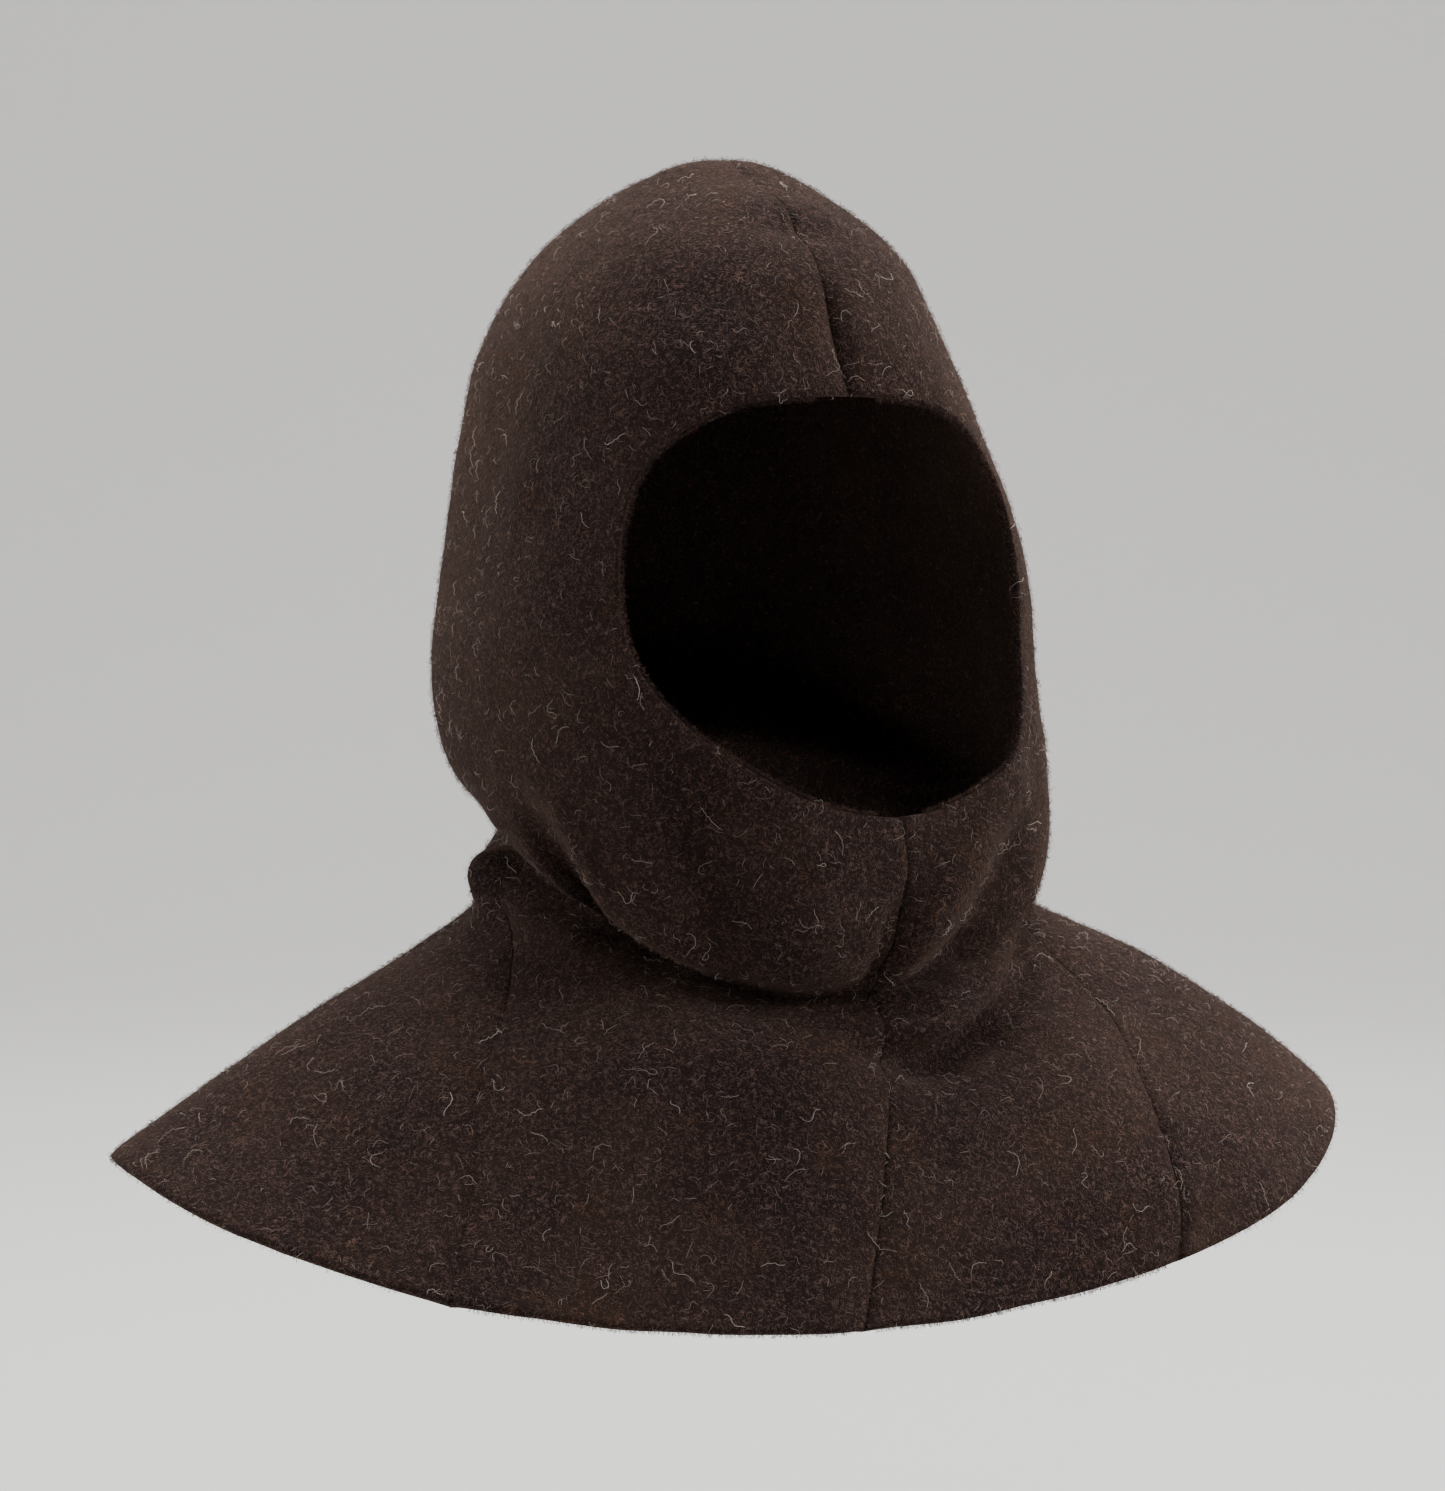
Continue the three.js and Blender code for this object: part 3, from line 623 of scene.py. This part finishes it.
def strands(name, paths, normals, thick, tone, rust):
    """Fibres as one mesh: each a tube of three sides along its path, closed at both ends."""
    count, steps = paths.shape[:2]
    if steps == 2:
        foot = ring(paths[:, 0], unit(paths[:, 1] - paths[:, 0]), normals, thick)
        verts = np.stack(foot + [paths[:, 1]], axis=1)
        faces = [(0, 1, 2), (1, 0, 3), (2, 1, 3), (0, 2, 3)]
    else:
        rings = []
        for k in range(1, steps - 1):
            rings += ring(paths[:, k], unit(paths[:, k + 1] - paths[:, k - 1]), normals, thick)
        verts = np.concatenate([paths[:, :1], np.stack(rings, axis=1), paths[:, -1:]], axis=1)
        faces = []
        for k in range(3):
            n = (k + 1) % 3
            last = 1 + 3 * (steps - 3)
            faces += [(0, 1 + k, 1 + n), (last + 3, last + n, last + k)]
            for r in range(steps - 3):
                p, q = 1 + 3 * r, 4 + 3 * r
                faces += [(p + k, q + k, q + n), (p + k, q + n, p + n)]
    per = verts.shape[1]
    faces = (np.array(faces)[None] + (np.arange(count) * per)[:, None, None]).reshape(-1, 3)
    mesh = bpy.data.meshes.new(name)
    mesh.vertices.add(count * per)
    mesh.vertices.foreach_set("co", verts.astype(np.float32).ravel())
    mesh.loops.add(len(faces) * 3)
    mesh.loops.foreach_set("vertex_index", faces.astype(np.int32).ravel())
    mesh.polygons.add(len(faces))
    mesh.polygons.foreach_set("loop_start", np.arange(0, len(faces) * 3, 3, dtype=np.int32))
    mesh.update(calc_edges=True)
    for key, each in (("tone", tone), ("rust", rust)):
        kept = mesh.attributes.new(key, "FLOAT", "POINT")
        kept.data.foreach_set("value", np.repeat(each, per).astype(np.float32))
    mesh.materials.append(fibre)
    piece = bpy.data.objects.new(name, mesh)
    bpy.context.scene.collection.objects.link(piece)
    only(piece)
    bpy.ops.object.shade_smooth()
    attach(piece, "root")
    return piece


def lying(normals, dice, downward):
    """A direction along the cloth for each fibre, any way at all but for a lean downward."""
    way = dice.normal(size=normals.shape) + np.array([0, 0, -downward])
    return unit(way - (way * normals).sum(1, keepdims=True) * normals)


def rust_of(places, dice):
    """The rust-coloured fibres, which lie in patches."""
    patch = waves(places, 0.022, 9)
    return (dice.random(len(places)) < np.clip(0.1 + 0.35 * patch, 0.03, 0.35)).astype(float)


def nap(name, piece, count, seed):
    """Fibres 2 to 5 mm long that lie along the outer skin, each with a bend in its middle."""
    where, normals, dice = scatter(piece, count, seed, 1)
    way = lying(normals, dice, 0.5)
    beside = np.cross(normals, way)
    long = dice.uniform(0.0022, 0.0048, count)[:, None]
    rise = np.abs(dice.normal(0, 0.00055, count))[:, None] + 0.0002
    bend = dice.uniform(-0.35, 0.35, count)[:, None]
    root = where - normals * root_depth
    middle = where + way * long * 0.5 + normals * rise + beside * long * bend
    reach = where + way * long * (1 - np.abs(bend) * 0.6)
    tip = reach + normals * rise * dice.uniform(0.2, 1.9, count)[:, None]
    paths = np.stack([root, middle, tip], axis=1)
    thick = dice.uniform(0.00012, 0.0002, count)
    return strands(name, paths, normals, thick, dice.beta(1.5, 3.2, count), rust_of(where, dice))


naps = {
    left_half: nap("left_half_nap", left_half, 17500, 11),
    right_half: nap("right_half_nap", right_half, 19300, 12),
    left_gore: nap("left_gore_nap", left_gore, 4600, 13),
    right_gore: nap("right_gore_nap", right_gore, 4300, 14),
}


def fuzz(name, piece, count, seed, side=1):
    """The fibres that stand up from the nap, which soften every outline."""
    where, normals, dice = scatter(piece, count, seed, side)
    way = unit(normals + lying(normals, dice, 0.2) * dice.uniform(0.2, 1.4, count)[:, None])
    shortest, longest = 0.0008, 0.0036
    long = (shortest + dice.gamma(2.2, 0.00042, count))[:, None]
    tip = where + way * np.minimum(long, longest)
    paths = np.stack([where - normals * root_depth, tip], axis=1)
    thick = dice.uniform(0.00013, 0.0002, count)
    beside = lying(way, dice, 0)
    tone = dice.beta(2, 4.5, count) * 0.85
    return strands(name, paths, beside, thick, tone, rust_of(where, dice))


standing = {
    left_half: [
        fuzz("left_half_fuzz", left_half, 19000, 31),
        fuzz("left_half_inner_fuzz", left_half, 4500, 35, 0),
    ],
    right_half: [
        fuzz("right_half_fuzz", right_half, 21000, 32),
        fuzz("right_half_inner_fuzz", right_half, 4500, 36, 0),
    ],
    left_gore: [fuzz("left_gore_fuzz", left_gore, 4800, 33)],
    right_gore: [fuzz("right_gore_fuzz", right_gore, 4500, 34)],
}


def fringe(name, piece, count, seed, long, heights=(-1, 1)):
    """The hairier nap of a raw edge, standing out of the cut."""
    where, normals, dice = scatter(piece, count, seed, 2, heights)
    way = unit(normals + 0.75 * dice.normal(size=normals.shape))
    beside = unit(np.cross(normals, way))
    long = dice.uniform(0.4 * long, long, count)[:, None]
    middle = where + way * long * 0.55
    aside = beside * dice.uniform(-0.4, 0.4, count)[:, None] - normals * 0.1
    tip = where + way * long * 0.9 + aside * long
    paths = np.stack([where - normals * 0.0004, middle, tip], axis=1)
    thick = dice.uniform(0.00012, 0.0002, count)
    return strands(name, paths, beside, thick, dice.beta(2, 5, count) * 0.8, rust_of(where, dice))


neck_height = -0.3
above_neck, below_neck = (neck_height, 1), (-1, neck_height)
at_opening, at_hem = 0.0034, 0.0026  # the longest fibres of each edge, in metres

standing[left_half].append(
    fringe("left_half_opening_fringe", left_half, 4300, 21, at_opening, above_neck)
)
standing[right_half].append(
    fringe("right_half_opening_fringe", right_half, 4300, 22, at_opening, above_neck)
)
fringes = {
    left_half: fringe("left_half_hem_fringe", left_half, 2100, 25, at_hem, below_neck),
    right_half: fringe("right_half_hem_fringe", right_half, 2100, 26, at_hem, below_neck),
    left_gore: fringe("left_gore_hem_fringe", left_gore, 1000, 23, at_hem),
    right_gore: fringe("right_gore_hem_fringe", right_gore, 1000, 24, at_hem),
}

# ---------------------------------------------------------------------------------------------
# Guard hairs: the paler, coarser hairs of the fleece that didn't take the dye. They lie curled
# on the nap, a few of them 20 mm long and nearly white, most of them short and grey-brown.


def curled(piece, count, seed, steps, length, curl, lift):
    """Paths that wander over the outer skin of a piece."""
    where, normals, dice = scatter(piece, count, seed, 1)
    skin = BVHTree.FromPolygons(
        [v.co for v in piece.data.vertices], [p.vertices for p in piece.data.polygons]
    )
    way = lying(normals, dice, 0.3)
    pace = dice.uniform(*length, count) / (steps - 1)
    arc, squiggle = dice.normal(0, 0.35 * curl, count), dice.normal(0, 1.3 * curl, count)
    phase, quick = dice.uniform(0, 6.3, count), dice.uniform(3, 9, count)
    at, paths = where.copy(), []
    for k in range(steps):
        share = k / (steps - 1)
        height = lift * (0.15 + math.sin(math.pi * share) * dice.uniform(0.5, 1.6, count))
        paths.append(at + normals * height[:, None])
        turning = (arc + squiggle * np.sin(phase + quick * share)) * pace / 0.001
        beside = np.cross(normals, way)
        way = unit(way * np.cos(turning)[:, None] + beside * np.sin(turning)[:, None])
        step = at + way * pace[:, None]
        for i in range(count):
            hit, up, _, _ = skin.find_nearest(Vector(step[i]))
            at[i] = hit
            if up.dot(Vector(normals[i])) > 0:
                normals[i] = up
        way = unit(way - (way * normals).sum(1, keepdims=True) * normals)
    return np.stack(paths, axis=1), normals, dice


# each piece's share of the hairs, by its area
shares = {left_half: 0.385, right_half: 0.43, left_gore: 0.095, right_gore: 0.09}
hairs = {piece: [] for piece in panels}
for number, piece in enumerate(panels):
    for kind, count, steps, length, curl, lift, thick, shade in [
        ("short_hairs", 3700, 6, (0.0025, 0.005), 0.5, 0.0007, (0.00013, 0.00018), (0.5, 0.85)),
        ("grey_hairs", 1600, 10, (0.004, 0.008), 0.45, 0.001, (0.00013, 0.00018), (0.6, 0.88)),
        ("pale_hairs", 400, 18, (0.006, 0.013), 0.36, 0.0013, (0.00014, 0.0002), (0.75, 0.98)),
    ]:
        many = round(count * shares[piece])
        seed = 100 + 10 * number + steps
        paths, up, dice = curled(piece, many, seed, steps, length, curl, lift)
        thickness, tone = dice.uniform(*thick, many), dice.uniform(*shade, many)
        rust_share = rust_of(paths[:, 0], dice) * (kind == "short_hairs")
        made = strands(f"{piece.name}_{kind}", paths, up, thickness, tone, rust_share)
        hairs[piece].append(made)
